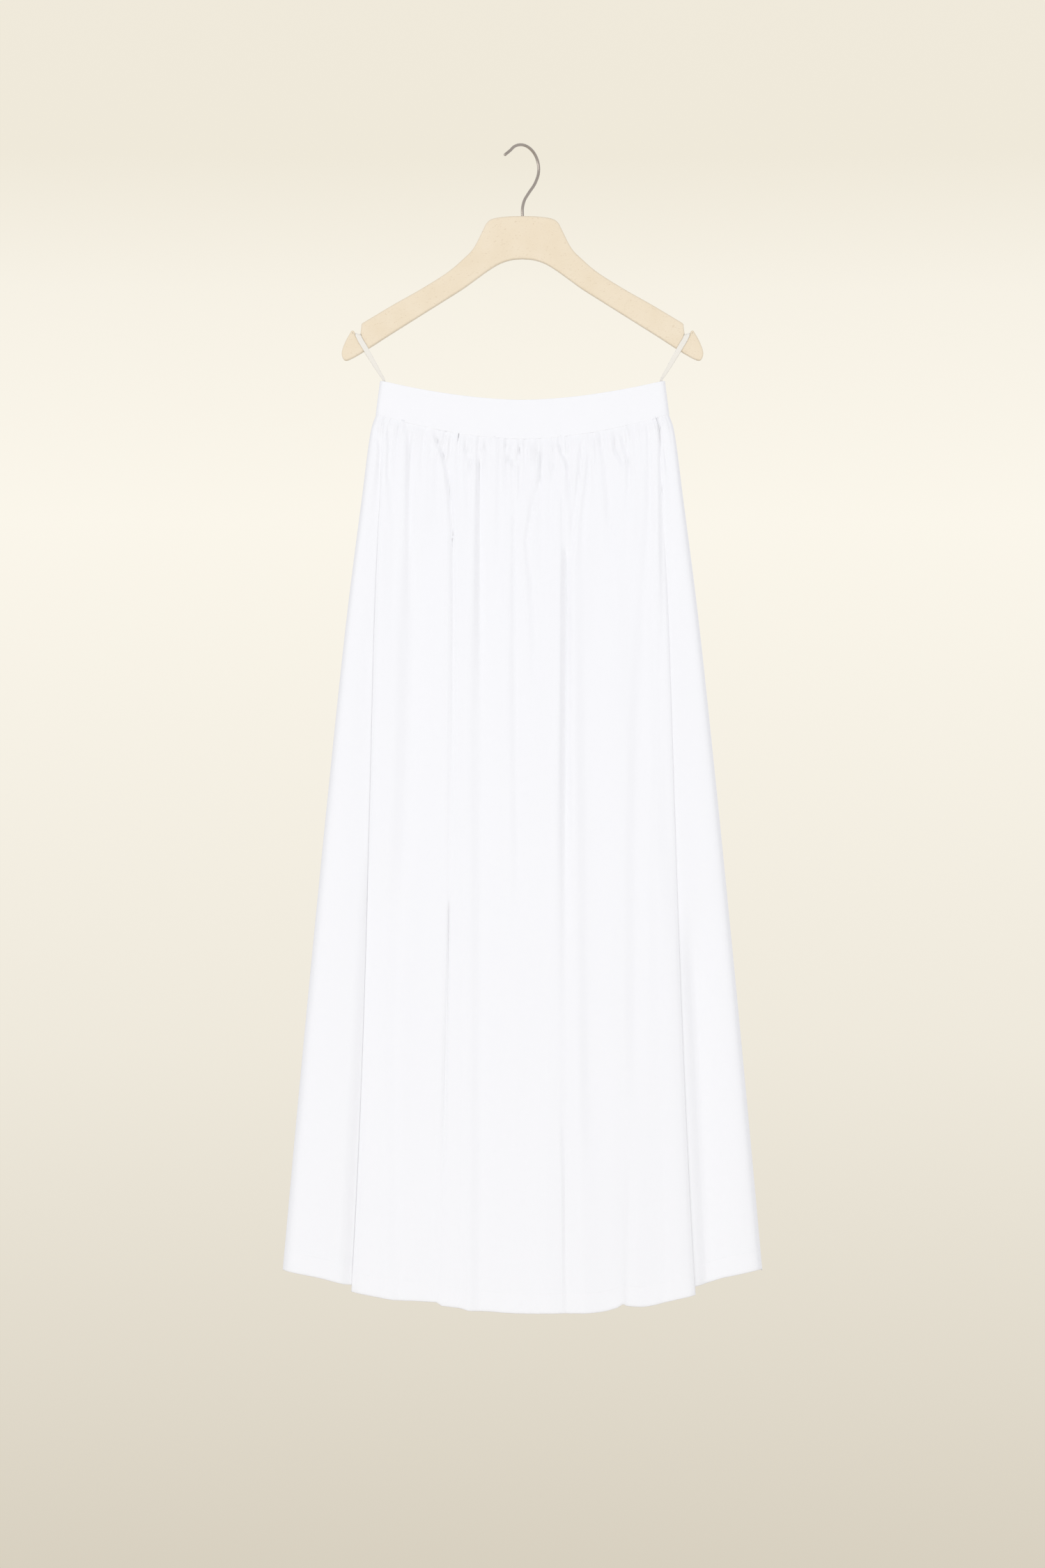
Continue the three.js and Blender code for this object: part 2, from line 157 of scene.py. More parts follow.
def makeCotton():
    look = Look("whiteCotton", cottonLook["shader"])
    across, down, _ = look.axes(look.clothPlace())
    turn = 2 * math.pi / cottonLook["threadPitch"]
    warp = (across * turn).sine()
    weft = (down * turn).sine()
    weave = warp * weft
    slubsDown = look.noise(look.clothPlace((900, 60, 1)), 1.0, 3.0)
    slubsAcross = look.noise(look.clothPlace((60, 900, 1)), 1.0, 3.0)
    slubs = slubsDown + slubsAcross
    clouds = look.noise(look.clothPlace((9, 5, 1)), 1.0, 2.0)
    crumple = look.noise(look.clothPlace((70, 30, 1)), 1.0, 4.0)
    tone = look.add("ShaderNodeAttribute", {"attribute_name": "doubled"}, output="Fac")
    clean = look.mix(tone, cottonLook["base"], cottonLook["doubled"])
    look.feed("Base Color", look.mix((slubs + clouds - 1.5) * 0.05, clean, cottonLook["shade"]))
    look.feed("Roughness", 0.8 + clouds * 0.12)
    look.bump(weave * 0.35 + slubs * 0.5 + crumple * 2.2, cottonLook["threadHeight"])
    return look.material


ribbonLook = {
    "base": (0.84, 0.805, 0.73, 1),
    "edge": (0.88, 0.85, 0.785, 1),
    "shader": {"Sheen Weight": 0.2, "Specular IOR Level": 0.4},
    "ribPitch": 0.55 * mm,
    "ribHeight": 0.02 * mm,
    "selvedgeAt": 2.2 * mm,
}


def makeRibbon():
    look = Look("satinRibbon", ribbonLook["shader"])
    across, along, _ = look.axes(look.clothPlace())
    ribs = (along * (2 * math.pi / ribbonLook["ribPitch"])).sine()
    selvedge = abs(across).above(ribbonLook["selvedgeAt"])
    fade = look.noise(look.clothPlace((400, 90, 1)), 1.0, 3.0)
    look.feed("Base Color", look.mix(selvedge * 0.7, ribbonLook["base"], ribbonLook["edge"]))
    look.feed("Roughness", 0.34 + fade * 0.16)
    look.bump(ribs * 0.3 + fade, ribbonLook["ribHeight"])
    return look.material


hangerLook = {
    "base": (0.80, 0.675, 0.49, 1),
    "pale": (0.87, 0.765, 0.6, 1),
    "speck": (0.52, 0.38, 0.24, 1),
    "shader": {"Specular IOR Level": 0.35},
    "speckStops": [(0.66, (0, 0, 0)), (0.74, (1, 1, 1))],
    "grainHeight": 0.03 * mm,
}


def makeHangerFinish():
    look = Look("mouldedFibre", hangerLook["shader"])
    place = look.objectPlace()
    clouds = look.noise(place, 35, 4.0)
    grains = look.noise(place, 950, 2.0)
    flecks = look.noise(look.objectPlace((1, 1, 2.2)), 420, 1.0)
    base = look.mix(clouds, hangerLook["base"], hangerLook["pale"])
    specks = look.add("ShaderNodeValToRGB", {"stops": hangerLook["speckStops"]}, [flecks])
    fibre = look.mix(specks * 0.32, base, hangerLook["speck"])
    look.feed("Base Color", look.mix((grains - 0.35) * 0.22, fibre, hangerLook["pale"]))
    look.feed("Roughness", 0.45 + grains * 0.15)
    look.bump(grains + clouds * 0.6, hangerLook["grainHeight"])
    return look.material


steelLook = {
    "base": (0.43, 0.375, 0.32, 1),
    "worn": (0.55, 0.49, 0.43, 1),
    "shader": {"Metallic": 1.0, "Anisotropic": 0.3},
    "scratchHeight": 0.01 * mm,
}


def makeSteel():
    look = Look("drawnSteel", steelLook["shader"])
    scratches = look.noise(look.objectPlace((300, 300, 5000)), 1.0, 3.0)
    haze = look.noise(look.objectPlace(), 90, 2.0)
    look.feed("Base Color", look.mix(haze, steelLook["base"], steelLook["worn"]))
    look.feed("Roughness", 0.28 + scratches * 0.18)
    look.bump(scratches, steelLook["scratchHeight"])
    return look.material


threadLook = {
    "shader": {"Base Color": (0.93, 0.93, 0.94, 1), "Sheen Weight": 0.2},
    "twistHeight": 0.04 * mm,
}


def makeThread():
    look = Look("whiteThread", threadLook["shader"])
    twist = look.noise(look.objectPlace(), 2600, 1.0)
    look.feed("Roughness", 0.45 + twist * 0.2)
    look.bump(twist, threadLook["twistHeight"])
    return look.material


cotton = makeCotton()
ribbonFinish = makeRibbon()
hangerFinish = makeHangerFinish()
steel = makeSteel()
thread = makeThread()
print("finishes made")


# pieces from bmesh

def finishPiece(name, bm, finish, nodes=()):
    mesh = bpy.data.meshes.new(name)
    bm.to_mesh(mesh)
    bm.free()
    for face in mesh.polygons:
        face.use_smooth = True
    mesh.materials.append(finish)
    piece = bpy.data.objects.new(name, mesh)
    bpy.context.scene.collection.objects.link(piece)
    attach(piece, root)
    if nodes:
        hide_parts(*nodes)
    return piece


def gridPiece(places, cut, doubled=None, flip=False):
    # a sheet whose rows run from top to bottom; cut holds where each point lies on the flat cloth
    rows, columns = places.shape[:2]
    bm = bmesh.new()
    bmesh.ops.create_grid(bm, x_segments=columns - 1, y_segments=rows - 1, size=1)
    cutLayer = bm.loops.layers.uv.new("cut")
    doubleLayer = bm.verts.layers.float.new("doubled")
    spots = {}
    for vert in bm.verts:
        column = round((vert.co.x + 1) / 2 * (columns - 1))
        row = round((1 - vert.co.y) / 2 * (rows - 1))
        spots[vert] = (row, column)
    for vert, (row, column) in spots.items():
        vert.co = places[row][column]
        if doubled is not None:
            vert[doubleLayer] = doubled[row]
    for face in bm.faces:
        for loop in face.loops:
            loop[cutLayer].uv = cut[spots[loop.vert]]
    if flip:
        bmesh.ops.reverse_faces(bm, faces=bm.faces[:])
    return bm


def addWall(piece, thickness):
    wall = piece.modifiers.new("wall", "SOLIDIFY")
    wall.thickness = thickness
    wall.offset = 0
    wall.use_even_offset = False


def scatter(n):
    s = np.sin(np.asarray(n) * 12.9898 + 78.233) * 43758.5453
    return s - np.floor(s)


def rise(share, top, lift, bend):
    return top + lift * np.abs(share) ** bend


def blend(a, b, amount):
    return a + (b - a) * amount


def smoothCurve(points, t):
    # runs through all the points, an equal share of t to each stretch
    knots = np.array(points, dtype=float)
    ends = np.vstack([2 * knots[0] - knots[1], knots, 2 * knots[-1] - knots[-2]])
    place = np.clip(t, 0, 1) * (len(knots) - 1)
    i = np.minimum(place.astype(int), len(knots) - 2)
    s = (place - i)[:, None]
    before, start, end, after = ends[i], ends[i + 1], ends[i + 2], ends[i + 3]
    startSlope = (end - before) / 2
    endSlope = (after - start) / 2
    return (
        (2 * s**3 - 3 * s**2 + 1) * start
        + (s**3 - 2 * s**2 + s) * startSlope
        + (3 * s**2 - 2 * s**3) * end
        + (s**3 - s**2) * endSlope
    )


# the skirt's sizes, in millimetres until a piece is made
band = {
    "wall": 1.5,
    "topHalf": 165,
    "seamHalf": 170,
    "halfDepth": 9,
    "topZ": -295.5,
    "topRise": 22.5,
    "topBend": 1.75,
    "seamZ": -341,
    "seamRise": 29,
    "seamBend": 1.8,
    "elasticWaves": 28,
    "elasticDepth": 0.9,
    "elasticRows": (0.2, 0.4, 0.6, 0.8),
    "rippleDepth": 0.45,
    "rowDepth": 0.35,
    "swellDepth": 0.35,
    "shown": 48,
    "cut": (0.345, 0.05),
    "columns": 340,
    "rows": 22,
}
skirt = {
    "length": 996,
    "seamDrop": 0.5,
    "hemZ": -1345,
    "hemRise": 40,
    "hemBend": 2,
    "hemLean": 3.4,
    "hemHalfDepth": 28,
    "hemTurn": 24,
    # the turned hem's rows: rows up from the edge, how far inside, how much lower, how far on along the cut
    "hemInside": [
        (0, 0.5, 0.6, 0.6), (0, 1.0, 0.1, 1.2), (1, 1.1, 0, 4),
        (3, 1.1, 0, 10), (5, 1.1, 0, 16), (7, 0.9, 0, 22),
    ],
    "sideRoundness": 60,
    "settle": 1.9,
    "sideFade": 12,
    "gathers": 44,
    "gatherWidth": (0.2, 280),  # in gathers at the seam, and the drop that adds one gather to it
    "gatherLength": (60, 220),  # the shortest, and what chance adds
    "gatherLean": 90,
    "gatherStrength": (1.1, 2.4),  # the weakest, and what chance adds
    "puckerDepth": 0.55,
    "puckerReach": 28,
    "waveDepth": 0.75,
    "hemWaveDepth": 0.3,
    "hemWaveReach": 20,
    "wall": 0.55,
    "seamGap": 0.33,
    "puff": 0.9,
    "tuckedIn": 2.2,
    "columns": 320,
}
# half the skirt's width at drops below the seam
sideDrops = [0, 12, 30, 85, 230, 425, 620, 815, 996]
sideHalves = [170, 174.5, 178, 185, 203.4, 224, 243.2, 261.6, 278]

# waist and hem are shares of the half width, out is how far a fold stands from the body at the hem, lift
# how much its hem rises; a lap also has the side it opens to, its gap at the waist and hem, how far it
# tucks under, the lift of its upper edge and the slit kept open at its edge
frontFolds = [
    {"waist": -0.995, "hem": -0.996, "out": 12, "lift": 3},
    {"waist": -0.99, "hem": -0.99, "out": 22, "lift": 6},
    {"waist": -0.98, "hem": -0.976, "out": 27.5, "lift": 7},
    {"waist": -0.96, "hem": -0.85, "out": 28.5, "lift": 8},
    {"waist": -0.926, "hem": -0.707, "out": 31, "lift": 6, "over": 1,
     "gap": (1.6, 4.4), "tuck": 0.06, "edge": -1.5, "slit": 1.2},
    {"waist": -0.82, "hem": -0.585, "out": 35.5, "lift": -1.5},
    {"waist": -0.7, "hem": -0.52, "out": 37, "lift": -1.5},
    {"waist": -0.6, "hem": -0.45, "out": 39, "lift": 1},
    {"waist": -0.445, "hem": -0.338, "out": 42.5, "lift": 3.5, "over": 1,
     "gap": (0.3, 1.7), "tuck": 0, "edge": 0.5},
    {"waist": -0.35, "hem": -0.215, "out": 46.5, "lift": -1.5},
    {"waist": -0.24, "hem": -0.14, "out": 48.5, "lift": -0.5},
    {"waist": -0.1, "hem": -0.04, "out": 50.5, "lift": 0},
    {"waist": 0.07, "hem": 0.05, "out": 51.5, "lift": 0.5},
    {"waist": 0.27, "hem": 0.18, "out": 51, "lift": 0.5, "over": -1,
     "gap": (0.1, 1.6), "tuck": 0, "edge": 1},
    {"waist": 0.36, "hem": 0.26, "out": 50, "lift": 0},
    {"waist": 0.47, "hem": 0.33, "out": 47.5, "lift": 0.5},
    {"waist": 0.56, "hem": 0.385, "out": 46.3, "lift": 3},
    {"waist": 0.6, "hem": 0.414, "out": 45.2, "lift": 6.5},
    {"waist": 0.64, "hem": 0.434, "out": 44.4, "lift": 3.5},
    {"waist": 0.73, "hem": 0.51, "out": 42, "lift": 0},
    {"waist": 0.82, "hem": 0.59, "out": 39.5, "lift": 1},
    {"waist": 0.904, "hem": 0.713, "out": 35.5, "lift": 10.5, "over": -1,
     "gap": (2.1, 3.8), "tuck": 0.05, "edge": 1.5},
    {"waist": 0.945, "hem": 0.84, "out": 30, "lift": 12},
    {"waist": 0.98, "hem": 0.976, "out": 28.5, "lift": 9},
    {"waist": 0.99, "hem": 0.99, "out": 22.5, "lift": 6},
    {"waist": 0.995, "hem": 0.996, "out": 12, "lift": 3},
]
backFolds = [
    {"waist": -0.985, "hem": -0.955, "out": 8, "lift": 1},
    {"waist": -0.97, "hem": -0.9, "out": 12, "lift": 3},
    {"waist": -0.94, "hem": -0.78, "out": 15, "lift": 5},
    {"waist": -0.89, "hem": -0.66, "out": 23, "lift": 6, "over": 1,
     "gap": (2.5, 2.5), "tuck": 0.05, "edge": 0},
    {"waist": -0.72, "hem": -0.54, "out": 33, "lift": -1},
    {"waist": -0.6, "hem": -0.45, "out": 31, "lift": 0},
    {"waist": -0.5, "hem": -0.35, "out": 37, "lift": 2},
    {"waist": -0.36, "hem": -0.22, "out": 42, "lift": 4.5, "over": 1,
     "gap": (1.5, 1.4), "tuck": 0.05, "edge": 1},
    {"waist": -0.24, "hem": -0.1, "out": 47, "lift": -1},
    {"waist": -0.12, "hem": -0.02, "out": 45, "lift": 0},
    {"waist": 0, "hem": 0.06, "out": 48, "lift": 0},
    {"waist": 0.15, "hem": 0.16, "out": 45, "lift": 3, "over": -1,
     "gap": (1.5, 1.4), "tuck": 0.05, "edge": 0.5},
    {"waist": 0.3, "hem": 0.27, "out": 40, "lift": 0},
    {"waist": 0.42, "hem": 0.36, "out": 37, "lift": 1},
    {"waist": 0.53, "hem": 0.46, "out": 38, "lift": 0},
    {"waist": 0.68, "hem": 0.58, "out": 29, "lift": 6, "over": -1,
     "gap": (1.5, 2), "tuck": 0.05, "edge": 1},
    {"waist": 0.84, "hem": 0.73, "out": 19, "lift": 4},
    {"waist": 0.95, "hem": 0.88, "out": 12, "lift": 2},
    {"waist": 0.985, "hem": 0.955, "out": 8, "lift": 1},
]

# creases placed one by one: points are (x, drop below the seam), deep is inwards, wide is half the trough
frontCreases = [
    {"points": [(-174, 4), (-168, 22), (-165, 42), (-167, 90)], "deep": 1.6, "wide": 1.8},
    {"points": [(-166, 4), (-172, 24)], "deep": 1.2, "wide": 1.3},
    {"points": [(-156, 10), (-154, 34), (-155, 60), (-150, 110)], "deep": 1.4, "wide": 1.8},
    {"points": [(-133, 4), (-131, 60), (-131, 190)], "deep": 1.9, "wide": 2.6},
    {"points": [(-101, 6), (-90, 32), (-84, 70), (-81, 110), (-79.5, 200), (-80, 460)],
     "deep": 2.4, "wide": 1.9},
    {"points": [(-67, 12), (-62, 28), (-58, 46)], "deep": 1.6, "wide": 1.5},
    {"points": [(-50, 26), (-50, 70), (-50, 150), (-49, 260)], "deep": 2.5, "wide": 2.4},
    {"points": [(-44, 8), (-49, 32)], "deep": 1.2, "wide": 1.6},
    {"points": [(-19, 6), (-14, 22), (-10, 32)], "deep": 2.1, "wide": 1.5},
    {"points": [(-2, 4), (-5, 18), (-9, 32)], "deep": 2.0, "wide": 1.5},
    {"points": [(-3, 30), (-2, 54), (-1, 72)], "deep": 1.5, "wide": 1.6},
    {"points": [(13, 4), (14, 34)], "deep": 2.2, "wide": 1.6},
    {"points": [(18, 8), (22, 40), (14, 68), (5, 116), (10, 170), (14, 240)], "deep": 2.1, "wide": 2.2},
    {"points": [(33, 26), (45, 70), (47, 100)], "deep": 1.0, "wide": 2.0},
    {"points": [(50, 130), (51, 218), (50, 340), (49.5, 560)], "deep": 3.7, "wide": 3.0},
    {"points": [(-84.5, 540), (-87.3, 704), (-90, 820)], "deep": 2.3, "wide": 1.1},
    {"points": [(45.5, 790), (47, 860), (49.5, 985)], "deep": 1.6, "wide": 1.1},
    {"points": [(-9, 90), (-10, 200), (-10, 380), (-7, 500)], "deep": 1.2, "wide": 3.0},
    {"points": [(42, 6), (54, 38), (57, 92)], "deep": 2.0, "wide": 1.8},
    {"points": [(70, 4), (67, 36), (59, 108), (55, 150)], "deep": 2.2, "wide": 2.0},
    {"points": [(79, 18), (77, 36), (70, 92), (67, 150)], "deep": 1.6, "wide": 2.2},
    {"points": [(91, 4), (95, 32), (103, 128)], "deep": 1.6, "wide": 2.0},
    {"points": [(105, 6), (108, 24), (119, 46)], "deep": 1.9, "wide": 1.5},
    {"points": [(115, 8), (124, 48), (124, 88)], "deep": 2.0, "wide": 1.7},
    {"points": [(146, 4), (148, 96), (138, 230)], "deep": 1.0, "wide": 2.6},
    {"points": [(160, 4), (160, 34), (161, 100), (162, 230)], "deep": 2.2, "wide": 2.0},
    {"points": [(164, 34), (168, 64)], "deep": 1.2, "wide": 1.5},
]
backCreases = [
    {"points": [(-160, 4), (-158, 60), (-163, 160)], "deep": 2.4, "wide": 2.0},
    {"points": [(-141, 6), (-136, 36)], "deep": 1.9, "wide": 1.5},
    {"points": [(-118, 4), (-121, 70), (-128, 240)], "deep": 2.8, "wide": 2.6},
    {"points": [(-96, 6), (-88, 44), (-86, 90)], "deep": 2.2, "wide": 1.8},
    {"points": [(-62, 4), (-66, 60), (-64, 190)], "deep": 2.9, "wide": 2.2},
    {"points": [(-33, 6), (-27, 30)], "deep": 2.1, "wide": 1.4},
    {"points": [(-12, 4), (-18, 34)], "deep": 2.1, "wide": 1.4},
    {"points": [(8, 6), (10, 60), (4, 150), (8, 300)], "deep": 2.5, "wide": 2.2},
    {"points": [(37, 4), (34, 40), (40, 110)], "deep": 2.2, "wide": 1.8},
    {"points": [(66, 6), (74, 50), (73, 160)], "deep": 2.9, "wide": 2.2},
    {"points": [(99, 4), (92, 46)], "deep": 2.0, "wide": 1.6},
    {"points": [(121, 6), (124, 80), (133, 260)], "deep": 2.5, "wide": 2.6},
    {"points": [(152, 4), (156, 60), (160, 150)], "deep": 2.2, "wide": 2.0},
]

# soft steps, left to right: the cloth sinks over twice steep, then climbs back over after
frontSteps = [
    {"points": [(-179, 520), (-187, 704), (-194, 825), (-201, 985)], "sink": 8, "steep": 8, "after": 60},
    {"points": [(-135, 150), (-139, 339), (-144, 461), (-152, 704), (-149, 985)],
     "sink": 5.5, "steep": 10, "after": 44},
    {"points": [(-54, 72), (-55, 339), (-55, 985)], "sink": 4.8, "steep": 8, "after": 36},
    {"points": [(-12, 90), (-10, 400), (-9, 520)], "sink": 1.8, "steep": 4, "after": 24},
    {"points": [(10, 110), (11, 290)], "sink": 1.6, "steep": 5, "after": 20},
    {"points": [(42, 110), (44, 300), (43, 460)], "sink": 2.2, "steep": 7, "after": 12},
    {"points": [(66, 110), (64, 218), (66, 461), (69, 704), (71, 800)], "sink": 3.3, "steep": 8, "after": 46},
    {"points": [(134, 218), (127, 339), (123, 461), (122, 740)], "sink": 2.4, "steep": 7, "after": 18},
    {"points": [(119, 840), (116.5, 985)], "sink": 0.9, "steep": 3, "after": 14},
    {"points": [(150, 218), (158, 461), (166, 560)], "sink": 2.4, "steep": 8, "after": 14},
    {"points": [(187, 600), (193, 704), (198, 825), (205, 985)], "sink": 7.5, "steep": 8, "after": 36},
]
backSteps = [
    {"points": [(-170, 300), (-190, 640), (-200, 985)], "sink": 4.2, "steep": 9, "after": 16},
    {"points": [(-132, 150), (-140, 450), (-146, 985)], "sink": 5.1, "steep": 9, "after": 46},
    {"points": [(-36, 100), (-40, 460), (-44, 985)], "sink": 4.8, "steep": 8, "after": 40},
    {"points": [(28, 110), (36, 420), (40, 985)], "sink": 5.1, "steep": 7, "after": 36},
    {"points": [(88, 140), (102, 420), (114, 985)], "sink": 4.8, "steep": 8, "after": 38},
    {"points": [(152, 300), (176, 640), (190, 985)], "sink": 3.5, "steep": 8, "after": 20},
]


def between(before, after, shares):
    return [tuple(blend(a, b, share) for a, b in zip(before, after)) for share in shares]


def foldPoints(folds):
    # hem share, height, waist share, the hem's lift, and how far a lap's layer stands out at waist and hem;
    # extra points beside a lap keep the curve from swinging past it
    points = [(-1, 0, -1, 0, 0, 0)]
    afterLap = False
    for fold in folds:
        if "over" not in fold:
            plain = (fold["hem"], fold["out"], fold["waist"], fold["lift"], 0, 0)
            if afterLap:
                points += between(points[-1], plain, (0.15, 0.45))
            points.append(plain)
            afterLap = False
            continue
        tuck, over = fold["tuck"], fold["over"]
        gapAtWaist, gapAtHem = fold["gap"]
        lift, edge, slit = fold["lift"], fold["edge"], fold.get("slit", 0.5)
        half = (lift + edge) / 2
        # the lower layer goes under, turns back against it, and rolls up over the edge to the upper one;
        # where the lap is pressed flat it only steps up
        lap = [
            (-0.03, -0.018, lift, -1, 0),
            (0.3 * tuck, -0.012, lift, -1, 0),
            (tuck, -0.008, half, -1, slit / 2),
            (0.5 * tuck, -0.004, half, -1, slit),
            (0.003, 0, half, -1, slit),
            (0, 0.002, edge, -0.95, slit),
            (0.002, 0.005, edge, -0.6, slit / 2),
            (0.008, 0.008, edge, -0.1, 0),
            (0.018, 0.012, edge, 0.35, 0),
            (0.032, 0.017, edge, 0.68, 0),
            (0.05, 0.022, edge, 0.9, 0),
            (0.072, 0.028, edge, 1, 0),
        ]
        pressed = [
            (-0.03, -0.02, lift, -1, 0),
            (-0.014, -0.012, lift, -1, 0),
            (-0.005, -0.005, half, -0.85, 0),
            (0.004, 0.003, edge, -0.45, 0),
            (0.016, 0.01, edge, 0, 0),
            (0.034, 0.017, edge, 0.5, 0),
            (0.055, 0.023, edge, 0.88, 0),
            (0.075, 0.03, edge, 1, 0),
        ]
        knots = lap if tuck else pressed
        placed = []
        for along, aside, raised, layer, wall in knots if over > 0 else knots[::-1]:
            hem = fold["hem"] + over * along
            waist = fold["waist"] + over * aside
            layers = (layer * gapAtWaist + wall, layer * gapAtHem + wall)
            placed.append((hem, fold["out"], waist, raised, *layers))
        points += between(points[-1], placed[0], (0.55, 0.85)) + placed
        afterLap = True
    return points + [(1, 0, 1, 0, 0, 0)]


def halfWidth(drop):
    drops, halves = np.array(sideDrops, float), np.array(sideHalves, float)
    last = len(drops) - 1
    before = np.maximum(np.arange(last + 1) - 1, 0)
    after = np.minimum(np.arange(last + 1) + 1, last)
    slopes = (halves[after] - halves[before]) / (drops[after] - drops[before])
    i = np.clip(np.searchsorted(drops, drop, side="right") - 1, 0, last - 1)
    span = drops[i + 1] - drops[i]
    s = (drop - drops[i]) / span
    ease = s * s * (3 - 2 * s)
    start = s * (1 - s) ** 2 * span * slopes[i]
    end = s * s * (s - 1) * span * slopes[i + 1]
    return blend(halves[i], halves[i + 1], ease) + start + end


def gatherDepth(waistShare, drop, seed):
    # each gather has its own length, lean and strength, and widens as it runs down
    phase = (waistShare + 1) / 2 * skirt["gathers"]
    narrow, widening = skirt["gatherWidth"]
    shortest, longer = skirt["gatherLength"]
    weakest, stronger = skirt["gatherStrength"]
    width = narrow + drop / widening
    depth = 0
    for step in (-1, 0, 1):
        i = np.floor(phase) + step
        length = shortest + longer * scatter(i + seed) ** 2
        lean = (scatter(i + seed + 50) - 0.5) * drop / skirt["gatherLean"]
        strength = (weakest + stronger * scatter(i + seed + 100) ** 2) * np.clip(0.4 + drop / 22, 0, 1)
        inside = (i >= 0) & (i < skirt["gathers"])
        fade = np.maximum(0, 1 - drop / length) * inside
        depth = depth + strength * fade * np.exp(-(((phase - i - 0.5 - lean) / width) ** 2))
    return depth


def bodyCurve(share, halfDepth):
    return halfDepth * np.sqrt(np.maximum(0, 1 - np.abs(share) ** skirt["sideRoundness"]))


creaseForm = {"startOver": 12, "endBeyond": 0.25, "endOver": 0.6, "widening": 0.9, "ridge": 0.45}


def creaseDepth(x, drop, creases):
    # a trough that widens and fades as it runs down, with a low ridge on its left
    depth = np.zeros_like(x)
    for crease in creases:
        line = np.array(crease["points"], float)
        middle = np.interp(drop, line[:, 1], line[:, 0])
        first, last = line[0, 1], line[-1, 1]
        reach = last - first
        start = np.clip((drop - first) / creaseForm["startOver"] + 0.5, 0.2, 1)
        end = np.clip((last + creaseForm["endBeyond"] * reach - drop) / (creaseForm["endOver"] * reach), 0, 1)
        along = np.clip((drop - first) / max(reach, 60), 0, 1.2)
        wide = crease["wide"] * (1 + creaseForm["widening"] * along)
        trough = np.exp(-(((x - middle) / wide) ** 2))
        ridge = creaseForm["ridge"] * np.exp(-(((x - middle + 2.1 * wide) / (1.3 * wide)) ** 2))
        depth += crease["deep"] * start * end * (trough - ridge)
    return depth


def smoothStep(share):
    share = np.clip(share, 0, 1)
    return share * share * (3 - 2 * share)


stepFade = {"top": 110, "foot": 170}


def stepHeight(x, drop, steps):
    height = np.zeros_like(x)
    for step in steps:
        line = np.array(step["points"], float)
        beyond = x - np.interp(drop, line[:, 1], line[:, 0])
        fade = smoothStep((drop - line[0, 1]) / stepFade["top"] + 0.5)
        if line[-1, 1] < skirt["length"] - skirt["hemTurn"]:
            fade = fade * smoothStep((line[-1, 1] - drop) / stepFade["foot"] + 0.5)
        sunk = smoothStep(beyond / (2 * step["steep"]) + 0.5)
        climbed = smoothStep((beyond - step["steep"]) / step["after"])
        height -= step["sink"] * fade * (sunk - climbed)
    return height


def softFolds(panel, across, drop):
    # the small play of the cloth: fine puckers at the seam, slow waves down the skirt and at the hem
    seed = panel["seed"]
    uneven = 0.6 + 0.4 * np.sin(across * 23 + 2 * np.sin(across * 57 + seed))
    ripple = np.sin(across * 176 + 3 * np.sin(across * 31 + seed) + 0.06 * drop)
    puckers = skirt["puckerDepth"] * uneven * np.exp(-drop / skirt["puckerReach"]) * ripple
    waves = 0
    for n in range(6):
        turns = 7 + 6.1 * n + 3 * scatter(seed + n)
        drift = 0.0016 * (scatter(seed + n + 20) - 0.5) * drop
        pace = 0.004 + 0.004 * scatter(seed + n + 40)
        swell = 0.5 + 0.5 * np.sin(drop * pace + 6 * scatter(seed + n + 60))
        reach = 900 / (1 + 0.8 * n)
        height = skirt["waveDepth"] * swell * np.clip(drop / 120, 0, 1) * np.exp(-drop / reach)
        waves = waves + height * np.sin(turns * (across + drift) + 7 * scatter(seed + n + 80))
    hemNear = np.exp(-(skirt["length"] - drop) / skirt["hemWaveReach"])
    hemWaves = skirt["hemWaveDepth"] * hemNear * np.sin(across * 61 + 4 * np.sin(across * 9 + seed))
    return puckers + waves + hemWaves


def skirtSurface(panel, t, drops):
    at = smoothCurve(panel["points"], t)
    hemShare, height, waistShare = at[None, :, 0], at[None, :, 1], at[None, :, 2]
    drop = drops[:, None]
    v = drop / skirt["length"]
    settled = 1 - np.clip(1 - v, 0, 1) ** skirt["settle"]
    share = np.clip(blend(waistShare, hemShare, settled), -1, 1)
    halfDepth = blend(band["halfDepth"], skirt["hemHalfDepth"], settled)
    fromSide = np.minimum(1, (1 - np.abs(share)) * skirt["sideFade"])
    layer = blend(at[None, :, 4], at[None, :, 5], v) * np.minimum(1, 3 * settled)
    folds = settled * height + layer - gatherDepth(waistShare, drop, panel["seed"]) * fromSide
    puff = skirt["puff"] * np.exp(-(((drop - 9) / 8) ** 2)) * np.minimum(1, (1 - np.abs(share)) * 20)
    out = bodyCurve(share, halfDepth) + folds + puff + skirt["seamGap"] / 2
    seam = rise(waistShare, band["seamZ"], band["seamRise"], band["seamBend"]) - skirt["seamDrop"]
    hem = rise(hemShare, skirt["hemZ"], skirt["hemRise"], skirt["hemBend"])
    hem = hem - skirt["hemLean"] * np.sin(math.pi * hemShare) + at[None, :, 3]
    x = share * halfWidth(drop)
    z = blend(seam, hem, v)
    small = softFolds(panel, blend(waistShare, hemShare, 0.5), drop)
    small = small + stepHeight(x, drop, panel["steps"]) - creaseDepth(x, drop, panel["creases"])
    out = out + small * fromSide
    return np.stack([x, panel["facing"] * out, z + 0 * x], axis=2)


